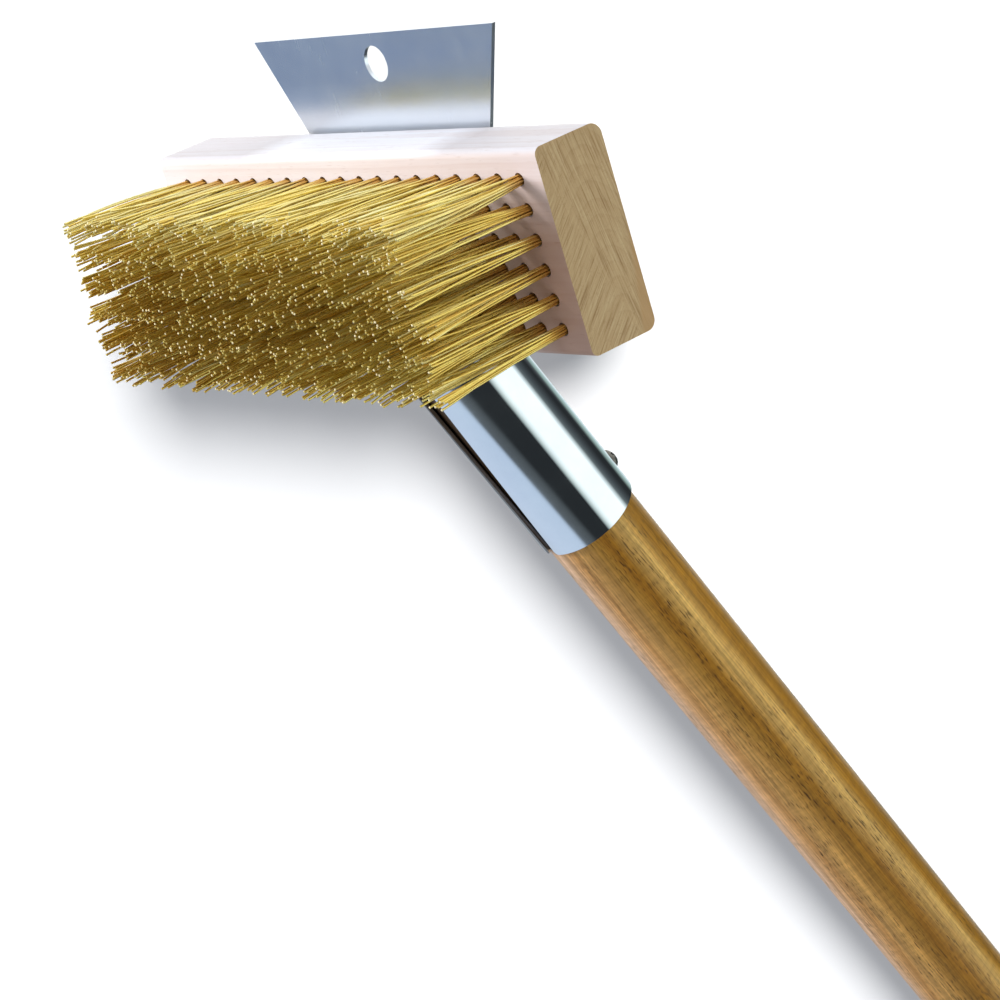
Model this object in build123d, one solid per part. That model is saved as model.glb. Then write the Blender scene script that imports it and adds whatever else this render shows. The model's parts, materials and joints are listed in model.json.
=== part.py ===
from build123d import *
import math
import os

# Long-handled grill cleaning brush, in millimetres.
#
# The head is modelled in its own frame: +X along the block, +Y from the handle towards the
# scraper edge, +Z the way the bristles point, with Z = 0 on the bristle face of the block and
# X = Y = 0 in the middle of the tuft field. The whole brush is then tipped about X and moved
# into the resting frame: it lies on its back, with the scraper edge and the handle's end on
# the plane Z = 0, +Y from the handle's end to the scraper edge, and the origin at the bottom
# centre of its box.

# --- driving dimensions -------------------------------------------------------------------

# wooden block
BLOCK_LENGTH = 200.0
BLOCK_THICKNESS = 23.8
BLOCK_MARGIN_RIGHT = 10.2       # from the last column of tufts to the +X end
BLOCK_MARGIN_SCRAPER = 8.8      # from the first row of tufts to the scraper-side edge
BLOCK_MARGIN_HANDLE = 8.2       # from the last row of tufts to the handle-side edge
BLOCK_ROUND_FRONT_SCRAPER = 2.4
BLOCK_ROUND_FRONT_HANDLE = 2.2
BLOCK_ROUND_BACK_SCRAPER = 3.8
BLOCK_ROUND_BACK_HANDLE = 3.2

# tufts of brass wire, each folded round a flat anchor at the bottom of its hole
COLUMNS = 19
ROWS = 6
COLUMN_PITCH = 9.8
ROW_PITCH = 8.8
TUFT_HOLE_RADIUS = 2.0
TUFT_HOLE_DEPTH = 12.0
TUFT_ROOT_RADIUS = 1.85
TUFT_TIP_RADIUS = 4.3
TUFT_TRIM = 45.0                # length that stands out of the block
TUFT_SPREAD_Y = 0.09            # how far the outer rows' tips lean out, per millimetre from the middle
TUFT_LEAN_X = -3.9              # how far every tip leans along the block
TUFT_LEAN_Y = -1.4              # how far every tip leans towards the handle
ANCHOR_WIDTH = 3.6
ANCHOR_HEIGHT = 2.0
ANCHOR_THICKNESS = 0.5
ANCHOR_LIFT = 1.2               # height of the anchor above the bottom of the hole

# bracket: scraper blade, flat back plate, neck and rolled socket, in one piece of sheet steel
SHEET = 1.2
SCRAPER_HEIGHT = 29.4           # how far the blade stands out past the block
SCRAPER_EDGE_WIDTH = 126.0
PLATE_WIDTH = 90.1
FLARE_DEPTH = 6.0               # how far behind the block the blade starts to widen
HANG_HOLE_RADIUS = 5.6
HANG_HOLE_HEIGHT = 20.0         # centre of the hole past the block's edge
PLATE_LOW_EDGE_Y = -10.0        # lower edge of the flat plate's shoulders
PLATE_CORNER_ROUND = 6.0
NECK_TOP_Y = -13.0
NECK_WIDTH = 46.0
NECK_STATIONS = 6
NECK_DROP = 33.0                # degrees that the neck leaves the plate at
SOCKET_RADIUS = 17.4            # outer radius of the rolled socket
SOCKET_TOP = 42.0               # distances along the handle axis, from Y = 0 of the head
SOCKET_END = 116.5
SEAM_WIDTH_TOP = 8.6            # the open seam narrows towards the handle's end
SEAM_WIDTH_END = 2.8
SEAM_CORNER_ROUND = 1.5

# handle
HANDLE_RADIUS = 15.875
HANDLE_TILT = 23.85             # degrees between the handle and the plane of the block
HANDLE_AXIS_Z = -2.6            # where the handle's axis crosses Y = 0 of the head
HANDLE_TOP = 46.0
HANDLE_TOP_RADIUS = 15.4        # the end in the socket is eased, from just outside the socket's mouth
HANDLE_TAPER_END = SOCKET_END + 2.0
HANDLE_TOP_CHAMFER = 1.0
HANDLE_END = 714.0
HANDLE_END_ROUND = 9.0

# slotted round-head wood screws
BLOCK_SCREW_X = 3.5 * COLUMN_PITCH
BLOCK_SCREW_Y = ROW_PITCH
BLOCK_SCREW_SHANK_RADIUS = 1.75
BLOCK_SCREW_HEAD_RADIUS = 3.4
BLOCK_SCREW_HEAD_HEIGHT = 2.3
BLOCK_SCREW_LENGTH = 11.0
BLOCK_SCREW_SLOT_ANGLES = (20.0, 65.0, -35.0, 110.0)
HANDLE_SCREW_POSITION = 110.6   # along the handle axis
HANDLE_SCREW_SHANK_RADIUS = 2.0
HANDLE_SCREW_HEAD_RADIUS = 3.8
HANDLE_SCREW_HEAD_HEIGHT = 2.8
HANDLE_SCREW_LENGTH = 16.0
HANDLE_SCREW_SLOT_ANGLE = 30.0
SCREW_POINT = 3.0               # length of the tapered point
SCREW_POINT_SHARE = 0.25        # of the shank's radius, at the end of the point
SCREW_HOLE_CLEARANCE = 0.25     # round the shank, in the sheet
HEAD_ARC_RADIUS_SHARE = 0.80    # of the head's radius, at the middle of its rounded outline
HEAD_ARC_HEIGHT_SHARE = 0.76    # of the head's height, at the same point
SLOT_WIDTH = 1.0
SLOT_DEPTH_SHARE = 0.45         # of the head's height

# --- dimensions that follow -----------------------------------------------------------------

FIELD_X = (COLUMNS - 1) / 2 * COLUMN_PITCH
FIELD_Y = (ROWS - 1) / 2 * ROW_PITCH
BLOCK_RIGHT = FIELD_X + BLOCK_MARGIN_RIGHT
BLOCK_LEFT = BLOCK_RIGHT - BLOCK_LENGTH
BLOCK_MIDDLE_X = (BLOCK_RIGHT + BLOCK_LEFT) / 2
BLOCK_SCRAPER_Y = FIELD_Y + BLOCK_MARGIN_SCRAPER
BLOCK_HANDLE_Y = -FIELD_Y - BLOCK_MARGIN_HANDLE
SCRAPER_EDGE_Y = BLOCK_SCRAPER_Y + SCRAPER_HEIGHT
PLATE_FRONT_Z = -BLOCK_THICKNESS
PLATE_MIDDLE_Z = PLATE_FRONT_Z - SHEET / 2
PLATE_BACK_Z = PLATE_FRONT_Z - SHEET
SOCKET_MIDDLE_RADIUS = SOCKET_RADIUS - SHEET / 2
FLAT_BEND = 1e-4                # share of the socket's curvature that counts as flat

TILT = math.radians(HANDLE_TILT)
HANDLE_DIRECTION = Vector(0, -math.cos(TILT), -math.sin(TILT))
HANDLE_FRONT = Vector(0, -math.sin(TILT), math.cos(TILT))

# Along the handle's axis: local +Z to the handle's end, local +Y the way the bristles point.
HANDLE_PLANE = Plane(origin=(0, 0, HANDLE_AXIS_Z), x_dir=(1, 0, 0), z_dir=HANDLE_DIRECTION)


def resting_angle():
    """Angle about X, in degrees, that lays the scraper edge and the handle's end on one plane."""
    round_centre = (HANDLE_PLANE.origin + HANDLE_DIRECTION * (HANDLE_END - HANDLE_END_ROUND)
                    - HANDLE_FRONT * (HANDLE_RADIUS - HANDLE_END_ROUND))
    span_y = SCRAPER_EDGE_Y - round_centre.Y
    span_z = PLATE_BACK_Z - round_centre.Z
    slope = math.atan2(span_z, span_y)
    return math.degrees(slope + math.asin(HANDLE_END_ROUND / math.hypot(span_y, span_z)))


def tuft_places():
    """Column number, row number, and X and Y of each tuft on the bristle face."""
    for column in range(COLUMNS):
        for row in range(ROWS):
            x = -FIELD_X + column * COLUMN_PITCH
            y = FIELD_Y - row * ROW_PITCH
            yield column, row, x, y


def block_screw_places():
    """X and Y of the screws through the back plate, each midway between four tufts."""
    return [(side * BLOCK_SCREW_X, level * BLOCK_SCREW_Y) for side in (-1, 1) for level in (-1, 1)]


# --- pieces ---------------------------------------------------------------------------------


def make_anchor(x, y):
    """Flat strip of metal across the bottom of a tuft's hole."""
    z = -TUFT_HOLE_DEPTH + ANCHOR_LIFT + ANCHOR_HEIGHT / 2
    return Pos(x, y, z) * Box(ANCHOR_WIDTH, ANCHOR_THICKNESS, ANCHOR_HEIGHT)


def make_tuft(x, y):
    """Envelope of one bundle of wires: straight in its hole, then flared and leaning outward."""
    tip_x = x + TUFT_LEAN_X
    tip_y = y * (1 + TUFT_SPREAD_Y) + TUFT_LEAN_Y
    sections = [
        Pos(x, y, -TUFT_HOLE_DEPTH) * Circle(TUFT_ROOT_RADIUS),
        Pos(x, y, 0) * Circle(TUFT_ROOT_RADIUS),
        Pos(tip_x, tip_y, TUFT_TRIM) * Circle(TUFT_TIP_RADIUS),
    ]
    return loft(sections, ruled=True) - make_anchor(x, y)


def make_block():
    """Wooden block with rounded long edges, tuft holes and pilot holes."""
    middle_y = (BLOCK_SCRAPER_Y + BLOCK_HANDLE_Y) / 2
    width = BLOCK_SCRAPER_Y - BLOCK_HANDLE_Y
    block = Pos(BLOCK_MIDDLE_X, middle_y, -BLOCK_THICKNESS / 2) * Box(BLOCK_LENGTH, width, BLOCK_THICKNESS)
    rounds = (
        (BLOCK_SCRAPER_Y, 0, BLOCK_ROUND_FRONT_SCRAPER),
        (BLOCK_HANDLE_Y, 0, BLOCK_ROUND_FRONT_HANDLE),
        (BLOCK_SCRAPER_Y, -BLOCK_THICKNESS, BLOCK_ROUND_BACK_SCRAPER),
        (BLOCK_HANDLE_Y, -BLOCK_THICKNESS, BLOCK_ROUND_BACK_HANDLE),
    )
    for y, z, radius in rounds:
        edge = block.edges().filter_by(Axis.X).sort_by_distance((BLOCK_MIDDLE_X, y, z))[0]
        block = fillet(edge, radius)
    tuft_hole = Cylinder(TUFT_HOLE_RADIUS, TUFT_HOLE_DEPTH, align=(Align.CENTER, Align.CENTER, Align.MAX))
    pilot = make_screw_shank(BLOCK_SCREW_SHANK_RADIUS, BLOCK_SCREW_LENGTH)
    holes = [Pos(x, y, 0) * tuft_hole for _, _, x, y in tuft_places()]
    holes += [Pos(x, y, PLATE_BACK_Z) * pilot for x, y in block_screw_places()]
    return block - holes


def make_screw_shank(radius, length):
    """Plain shank from Z = 0 up, ending in a tapered point."""
    body = Cylinder(radius, length - SCREW_POINT, align=(Align.CENTER, Align.CENTER, Align.MIN))
    point = Pos(0, 0, length - SCREW_POINT) * Cone(
        radius, radius * SCREW_POINT_SHARE, SCREW_POINT, align=(Align.CENTER, Align.CENTER, Align.MIN))
    return body + point


def make_screw(shank_radius, head_radius, head_height, length, slot_angle):
    """Slotted round-head screw: the underside of its head at Z = 0 and its point towards +Z."""
    profile = Plane.XZ * make_face(
        Polyline((0, -head_height), (0, 0), (head_radius, 0))
        + ThreePointArc((head_radius, 0),
                        (head_radius * HEAD_ARC_RADIUS_SHARE, -head_height * HEAD_ARC_HEIGHT_SHARE),
                        (0, -head_height)))
    head = revolve(profile, Axis.Z)
    slot_depth = head_height * SLOT_DEPTH_SHARE
    slot = Rot(Z=slot_angle) * Pos(0, 0, -head_height) * Box(
        head_radius * 2.5, SLOT_WIDTH, slot_depth, align=(Align.CENTER, Align.CENTER, Align.MIN))
    return head - slot + make_screw_shank(shank_radius, length)


def make_plate():
    """Flat part of the bracket: the scraper blade, and the plate behind the block down to the neck."""
    blade_half = SCRAPER_EDGE_WIDTH / 2
    plate_half = PLATE_WIDTH / 2
    neck_half = NECK_WIDTH / 2
    right_side = [
        (blade_half, SCRAPER_EDGE_Y),
        (plate_half, BLOCK_SCRAPER_Y - FLARE_DEPTH),
        (plate_half, PLATE_LOW_EDGE_Y),
        (neck_half, PLATE_LOW_EDGE_Y),
        (neck_half, NECK_TOP_Y),
    ]
    left_side = [(-x, y) for x, y in reversed(right_side)]
    outline = make_face(Polyline(*right_side, *left_side, close=True))
    shoulders = outline.vertices().group_by(Axis.Y)[1].sort_by(Axis.X)
    outline = fillet([shoulders[0], shoulders[-1]], PLATE_CORNER_ROUND)
    plate = extrude(Pos(0, 0, PLATE_BACK_Z) * outline, SHEET, dir=(0, 0, 1))
    holes = [Pos(0, BLOCK_SCRAPER_Y + HANG_HOLE_HEIGHT, PLATE_MIDDLE_Z) * Cylinder(HANG_HOLE_RADIUS, 2 * SHEET)]
    screw_hole = Cylinder(BLOCK_SCREW_SHANK_RADIUS + SCREW_HOLE_CLEARANCE, 2 * SHEET)
    holes += [Pos(x, y, PLATE_MIDDLE_Z) * screw_hole for x, y in block_screw_places()]
    return plate - holes


def sheet_section(centre, along, front, bend):
    """Cross-section of the neck: a strip NECK_WIDTH wide, bent forward to the curvature bend."""
    plane = Plane(origin=centre, x_dir=(1, 0, 0), z_dir=along)
    side = 1 if plane.y_dir.dot(front) > 0 else -1
    half_angle = NECK_WIDTH * bend / 2
    radius = 1 / bend
    edges = []
    for offset in (SHEET / 2, -SHEET / 2):
        reach = radius + offset
        points = [(reach * math.sin(a), side * (radius - reach * math.cos(a)))
                  for a in (-half_angle, 0, half_angle)]
        edges.append(ThreePointArc(*points))
    ends = [Line(edges[0] @ end, edges[1] @ end) for end in (0, 1)]
    return plane * make_face(edges + ends)


def make_neck():
    """Neck that drops back behind the block while it bends from flat to the socket's curve."""
    start = Vector(0, NECK_TOP_Y, PLATE_MIDDLE_Z)
    end = HANDLE_PLANE.origin + HANDLE_DIRECTION * SOCKET_TOP - HANDLE_FRONT * SOCKET_MIDDLE_RADIUS
    pull = (end - start).length
    drop = math.radians(NECK_DROP)
    start_way = Vector(0, -math.cos(drop), -math.sin(drop))
    sections = []
    for station in range(NECK_STATIONS):
        t = station / (NECK_STATIONS - 1)
        centre = (start * (2 * t**3 - 3 * t**2 + 1) + start_way * (pull * (t**3 - 2 * t**2 + t))
                  + end * (3 * t**2 - 2 * t**3) + HANDLE_DIRECTION * (pull * (t**3 - t**2)))
        along = (start * (6 * t**2 - 6 * t) + start_way * (pull * (3 * t**2 - 4 * t + 1))
                 + end * (6 * t - 6 * t**2) + HANDLE_DIRECTION * (pull * (3 * t**2 - 2 * t)))
        along = along.normalized()
        if station == 0:
            along = Vector(0, -1, 0)
        front = Vector(0, along.Z, -along.Y)
        bend = max(t**3, FLAT_BEND) / SOCKET_MIDDLE_RADIUS
        sections.append(sheet_section(centre, along, front, bend))
    return loft(sections)


def make_socket():
    """Tube rolled round the handle, with an open seam on the bristle side."""
    length = SOCKET_END - SOCKET_TOP
    tube = Cylinder(SOCKET_RADIUS, length, align=(Align.CENTER, Align.CENTER, Align.MIN))
    bore = Cylinder(SOCKET_RADIUS - SHEET, length, align=(Align.CENTER, Align.CENTER, Align.MIN))
    seam_face = Plane.XZ * make_face(Polyline(
        (-SEAM_WIDTH_TOP / 2, 0), (SEAM_WIDTH_TOP / 2, 0),
        (SEAM_WIDTH_END / 2, length), (-SEAM_WIDTH_END / 2, length), close=True))
    seam = extrude(seam_face, SOCKET_RADIUS * 1.2, dir=(0, 1, 0))
    screw_hole = Pos(0, 0, HANDLE_SCREW_POSITION - SOCKET_TOP) * Rot(X=90) * Cylinder(
        HANDLE_SCREW_SHANK_RADIUS + SCREW_HOLE_CLEARANCE, SOCKET_RADIUS * 1.2,
        align=(Align.CENTER, Align.CENTER, Align.MIN))
    socket = tube - bore - seam - screw_hole
    corners = socket.edges().filter_by(GeomType.LINE).filter_by(
        lambda edge: edge.length < 2 * SHEET and edge.center().Y > SOCKET_RADIUS / 2)
    socket = fillet(corners, SEAM_CORNER_ROUND)
    return HANDLE_PLANE * Pos(0, 0, SOCKET_TOP) * socket


def make_bracket():
    """One-piece scraper and handle bracket."""
    return make_plate() + make_neck() + make_socket()


def make_handle():
    """Round wooden handle with a rounded end, an eased end in the socket and a pilot hole for its screw."""
    profile = Plane.XZ * make_face(Polyline(
        (0, HANDLE_TOP), (HANDLE_TOP_RADIUS, HANDLE_TOP), (HANDLE_RADIUS, HANDLE_TAPER_END),
        (HANDLE_RADIUS, HANDLE_END), (0, HANDLE_END), close=True))
    stick = revolve(profile, Axis.Z)
    rims = stick.edges().filter_by(GeomType.CIRCLE).sort_by(Axis.Z)
    stick = fillet(rims[-1], HANDLE_END_ROUND)
    stick = chamfer(stick.edges().filter_by(GeomType.CIRCLE).sort_by(Axis.Z)[0], HANDLE_TOP_CHAMFER)
    stick = HANDLE_PLANE * stick
    return stick - place_handle_screw(make_screw_shank(HANDLE_SCREW_SHANK_RADIUS, HANDLE_SCREW_LENGTH))


def place_handle_screw(piece):
    """Puts a screw on the back of the socket, pointing at the handle's axis."""
    return HANDLE_PLANE * Pos(0, -SOCKET_RADIUS, HANDLE_SCREW_POSITION) * Rot(X=-90) * piece


def make_nodes():
    """Every node in the head frame: its name and its solid, or its list of separate solids."""
    columns = {}
    anchors = []
    for column, _, x, y in tuft_places():
        columns.setdefault(f"tuft_column_{column + 1:02d}", []).append(make_tuft(x, y))
        anchors.append(make_anchor(x, y))
    block_screws = [
        Pos(x, y, PLATE_BACK_Z) * make_screw(
            BLOCK_SCREW_SHANK_RADIUS, BLOCK_SCREW_HEAD_RADIUS, BLOCK_SCREW_HEAD_HEIGHT,
            BLOCK_SCREW_LENGTH, slot_angle)
        for (x, y), slot_angle in zip(block_screw_places(), BLOCK_SCREW_SLOT_ANGLES)
    ]
    handle_screw = make_screw(
        HANDLE_SCREW_SHANK_RADIUS, HANDLE_SCREW_HEAD_RADIUS, HANDLE_SCREW_HEAD_HEIGHT,
        HANDLE_SCREW_LENGTH, HANDLE_SCREW_SLOT_ANGLE)
    return {
        "brush_block": make_block(),
        **columns,
        "tuft_anchors": anchors,
        "scraper_bracket": make_bracket(),
        "block_screws": block_screws,
        "handle": make_handle(),
        "handle_screw": place_handle_screw(handle_screw),
    }


def resting_place(bracket, handle):
    """Location that takes the head frame to the resting frame."""
    tipped = Rot(X=-resting_angle())
    box = Compound(children=[tipped * bracket, tipped * handle]).bounding_box()
    middle_y = (box.min.Y + box.max.Y) / 2
    return Pos(-BLOCK_MIDDLE_X, -middle_y, -box.min.Z) * tipped


def report_mounts(place):
    """Prints the mounts' places, in metres, and their directions, in the resting frame."""
    hang_hole = Pos(0, BLOCK_SCRAPER_Y + HANG_HOLE_HEIGHT, PLATE_MIDDLE_Z)
    shaft_middle = (HANDLE_TAPER_END + HANDLE_END - HANDLE_END_ROUND) / 2
    handle_shaft = HANDLE_PLANE.location * Pos(0, 0, shaft_middle)
    for name, location in (("hang_hole", hang_hole), ("handle_shaft", handle_shaft)):
        mount = Plane(place * location)
        print(name, [round(value / 1000, 6) for value in mount.origin], [round(v, 6) for v in mount.z_dir])


def main():
    os.makedirs("parts", exist_ok=True)
    nodes = make_nodes()
    place = resting_place(nodes["scraper_bracket"], nodes["handle"])
    report_mounts(place)
    for name, shape in nodes.items():
        solids = shape if isinstance(shape, list) else [shape]
        placed = [place * solid for solid in solids]
        export_step(placed[0] if len(placed) == 1 else Compound(children=placed), f"parts/{name}.step")


main()
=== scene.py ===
import json
import math

import bpy
import numpy as np
from mathutils import Matrix, Vector


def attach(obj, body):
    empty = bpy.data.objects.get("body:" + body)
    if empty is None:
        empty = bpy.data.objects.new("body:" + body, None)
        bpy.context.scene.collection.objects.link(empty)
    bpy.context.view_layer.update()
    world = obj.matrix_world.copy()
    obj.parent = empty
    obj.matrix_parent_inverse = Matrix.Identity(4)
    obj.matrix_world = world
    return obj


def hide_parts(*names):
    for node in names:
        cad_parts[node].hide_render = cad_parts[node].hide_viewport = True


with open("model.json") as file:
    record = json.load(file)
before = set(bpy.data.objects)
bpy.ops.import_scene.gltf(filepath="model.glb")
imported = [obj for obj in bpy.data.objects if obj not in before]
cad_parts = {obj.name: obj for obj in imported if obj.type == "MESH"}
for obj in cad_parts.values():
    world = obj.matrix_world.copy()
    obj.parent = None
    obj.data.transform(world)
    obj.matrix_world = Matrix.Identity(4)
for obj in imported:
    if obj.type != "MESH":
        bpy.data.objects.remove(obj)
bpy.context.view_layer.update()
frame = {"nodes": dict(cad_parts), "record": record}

# --- the head frame ---------------------------------------------------------------------------
# The brush lies on its back, so its head is tipped. The head frame has X along the block, Y from
# the handle towards the scraper edge and Z the way the bristles point, and starts in the middle
# of the tuft field on the bristle face. Lengths in it are in millimetres.

MM = 0.001
MOUNTS = {mount["name"]: mount for mount in frame["record"]["mounts"]}
HANG_HOLE_Y = 50.8
HANG_HOLE_Z = -24.4

HEAD_X = Vector((1, 0, 0))
HEAD_Z = Vector(MOUNTS["hang_hole"]["axis"]).normalized()
HEAD_Y = HEAD_Z.cross(HEAD_X)
HEAD_ORIGIN = Vector(MOUNTS["hang_hole"]["pos_m"]) - HEAD_Y * HANG_HOLE_Y * MM - HEAD_Z * HANG_HOLE_Z * MM
HEAD_AXES = Matrix((HEAD_X, HEAD_Y, HEAD_Z)).transposed()

HANDLE_WAY = Vector(MOUNTS["handle_shaft"]["axis"]).normalized()
HANDLE_PLACE = Vector(MOUNTS["handle_shaft"]["pos_m"])


def head_points(points):
    """Points of the head frame, in millimetres, as points of the row frame, in metres."""
    return np.asarray(points) @ (np.array(HEAD_AXES).T * MM) + np.array(HEAD_ORIGIN)


# --- camera -----------------------------------------------------------------------------------

CAMERA_PLACE = (0.80476, 0.70041, 0.43878)
CAMERA_RIGHT = Vector((0.59071, -0.53937, -0.60012))
CAMERA_UP = Vector((-0.06968, 0.70688, -0.70390))
CAMERA_LENS = 116.45


def make_camera():
    """Camera that was fitted to the photograph: place, roll and lens."""
    data = bpy.data.cameras.new("camera")
    data.lens = CAMERA_LENS
    data.sensor_width = 36.0
    data.dof.use_dof = False
    camera = bpy.data.objects.new("camera", data)
    back = CAMERA_RIGHT.cross(CAMERA_UP).normalized()
    up = back.cross(CAMERA_RIGHT).normalized()
    axes = Matrix((CAMERA_RIGHT.normalized(), up, back)).transposed().to_4x4()
    camera.matrix_world = Matrix.Translation(CAMERA_PLACE) @ axes
    bpy.context.scene.collection.objects.link(camera)
    bpy.context.scene.camera = camera


# --- node helpers -----------------------------------------------------------------------------


class Nodes:
    """Short way to write a material's or a world's nodes."""

    def __init__(self, tree):
        self.tree = tree
        tree.nodes.clear()

    def add(self, kind, inputs=None, **settings):
        node = self.tree.nodes.new(kind)
        for name, value in settings.items():
            setattr(node, name, value)
        for name, value in (inputs or {}).items():
            self.put(node.inputs[name], value)
        return node

    def put(self, socket, value):
        if isinstance(value, bpy.types.NodeSocket):
            self.tree.links.new(value, socket)
        else:
            socket.default_value = value

    def math(self, operation, *values, clamp=False):
        """Result of a math node, from sockets or numbers."""
        node = self.add("ShaderNodeMath", operation=operation, use_clamp=clamp)
        for socket, value in zip(node.inputs, values):
            self.put(socket, value)
        return node.outputs[0]

    def ramp(self, factor, stops):
        """Colours for a factor, between stops of a place and a colour."""
        node = self.add("ShaderNodeValToRGB", {"Fac": factor})
        ramp = node.color_ramp
        while len(ramp.elements) < len(stops):
            ramp.elements.new(0.5)
        for element, (place, colour) in zip(ramp.elements, stops):
            element.position = place
            element.color = rgb(*colour)
        return node.outputs["Color"]

    def grey(self, factor, low, high, from_low=0.0, from_high=1.0):
        """A factor moved from one range to another, and held within it."""
        node = self.add("ShaderNodeMapRange", {
            "Value": factor, "From Min": from_low, "From Max": from_high, "To Min": low, "To Max": high})
        return node.outputs["Result"]

    def mix(self, factor, first, second, blend="MIX"):
        """The first colour at factor 0, and the second blended in at 1."""
        node = self.add("ShaderNodeMix", data_type="RGBA", blend_type=blend)
        self.put(node.inputs[0], factor)
        self.put(node.inputs[6], first)
        self.put(node.inputs[7], second)
        return node.outputs[2]

    def noise(self, vector, scale, detail=3.0, roughness=0.5):
        node = self.add("ShaderNodeTexNoise", {
            "Vector": vector, "Scale": scale, "Detail": detail, "Roughness": roughness})
        return node.outputs["Fac"]

    def length(self, first, second):
        """Length of a two-dimensional vector."""
        squares = [self.math("MULTIPLY", value, value) for value in (first, second)]
        return self.math("SQRT", self.math("ADD", *squares))

    def band(self, place, middle, reach):
        """1 at a place, and down to 0 on both sides of it."""
        return self.grey(self.math("ABSOLUTE", self.math("SUBTRACT", place, middle)), 1.0, 0.0, 0.0, reach)

    def facing(self, direction, way, low, high):
        """How much a direction points a way: 0 below the cosine low, 1 above high."""
        node = self.add("ShaderNodeVectorMath", {0: direction, 1: way}, operation="DOT_PRODUCT")
        return self.grey(node.outputs["Value"], 0.0, 1.0, low, high)

    def stretch(self, vector, scale):
        """A vector with each of its parts scaled."""
        node = self.add("ShaderNodeMapping", {"Vector": vector, "Scale": scale})
        return node.outputs["Vector"]

    def frame_coordinates(self, origin, axes):
        """The shading point in a frame of its own, in metres: its origin and its three axes as columns."""
        turn = axes.transposed()
        node = self.add("ShaderNodeMapping", {
            "Vector": self.add("ShaderNodeTexCoord").outputs["Object"],
            "Location": tuple(-(turn @ origin)),
            "Rotation": turn.to_euler()})
        return node.outputs["Vector"]


def rgb(red, green, blue):
    return (red, green, blue, 1.0)


def new_material(name):
    material = bpy.data.materials.new(name)
    material.use_nodes = True
    nodes = Nodes(material.node_tree)
    shader = nodes.add("ShaderNodeBsdfPrincipled")
    output = nodes.add("ShaderNodeOutputMaterial")
    nodes.put(output.inputs["Surface"], shader.outputs["BSDF"])
    return material, nodes, shader


def set_material(piece, material):
    piece.data.materials.clear()
    piece.data.materials.append(material)


# --- materials --------------------------------------------------------------------------------

BLOCK_PALE = (0.775, 0.695, 0.660)
BLOCK_MIDDLE = (0.745, 0.650, 0.605)
BLOCK_LATE = (0.66, 0.53, 0.47)
BLOCK_FLECK = (0.45, 0.30, 0.22)
BLOCK_BLOTCH = (0.80, 0.66, 0.62)
TOP_FACE_PAINTED_SHADE = (0.77, 0.83, 0.90)      # painted shade: the face on the scraper's side darker and bluer at its two ends
TOP_FACE_PAINTED_LIGHT = (1.10, 1.23, 1.35)    # painted light: that face paler and bluer under the scraper, as light thrown off it
FRONT_PAINTED_SHADE = (0.88, 0.84, 0.84)    # painted shade: the bristle face darker towards its right end
FRONT_PAINTED_TUFT_SHADOW = (0.66, 0.50, 0.41)      # painted shadow: browner and darker between the lower tufts there, as the tufts' shade
END_PALE = (0.510, 0.392, 0.209)
END_MIDDLE = (0.433, 0.303, 0.143)
END_LATE = (0.265, 0.160, 0.060)
END_BAND = (0.42, 0.262, 0.108)     # the browner band along the back of an end
BLOCK_PITH = (-0.048, -0.0145)      # centre of the growth rings, across the block and down from its face
BLOCK_RINGS = 210.0                 # growth rings per metre
BLOCK_RING_SQUASH = 3.2             # how much flatter than round they are
BLOCK_GLOSS = 0.30
END_BAND_TOP = -0.0238              # how deep the browner band starts, halfway across the block
END_BAND_SLOPE = 0.164              # and how much deeper it starts further across
WEAVE_ANGLES = (45.0, -8.5)         # how the end's streaks lie, towards the face and towards the back
WEAVE_BORDER = (0.007, 0.011)       # how deep the one goes over into the other
WEAVE_SLOPE = 0.30
PAINTED_LIGHT_REACH = (0.038, 0.054)      # from the middle outward: the painted light under the scraper goes over into the painted shade of the ends
TUFT_SHADOW_START = (0.060, 0.085)          # along the block: the painted tuft shadow comes in
TUFT_SHADOW_ACROSS = (0.004, 0.024)        # across the block: and the painted tuft shadow goes out again

HANDLE_BARE = -0.2953           # along the handle from its mount: the socket's mouth
HANDLE_PITH = (-0.034, -0.022)  # centre of the growth rings, from the handle's middle line
HANDLE_RINGS = 420.0            # growth rings per metre
HANDLE_GLOSS = 0.22
HANDLE_PORE = (0.050, 0.022, 0.005)
HANDLE_SOCKET_SHADOW = (0.020, 0.011, 0.004)     # painted shadow on the wood inside the socket
# Painted light and shade round the handle, by the angle in degrees: the wood lighter where light falls or
# shines off it, darker where it is in shade, with a painted highlight band near 100 degrees.
HANDLE_LIGHT_AND_SHADE = [
    (-180, (0.33, 0.180, 0.029)), (-120, (0.38, 0.210, 0.050)), (-60, (0.50, 0.300, 0.130)),
    (-20, (0.60, 0.380, 0.220)), (-8, (0.63, 0.410, 0.250)), (0, (0.63, 0.385, 0.200)),
    (8, (0.54, 0.300, 0.115)), (16, (0.50, 0.260, 0.078)), (25, (0.63, 0.345, 0.098)),
    (38, (0.60, 0.335, 0.085)), (48, (0.43, 0.228, 0.045)), (56, (0.375, 0.194, 0.031)),
    (68, (0.325, 0.152, 0.018)), (76, (0.315, 0.148, 0.015)), (84, (0.43, 0.242, 0.048)),
    (94, (0.50, 0.305, 0.073)), (102, (0.60, 0.375, 0.090)), (108, (0.46, 0.262, 0.045)),
    (114, (0.30, 0.150, 0.014)), (128, (0.285, 0.140, 0.012)), (180, (0.33, 0.180, 0.029)),
]

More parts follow.
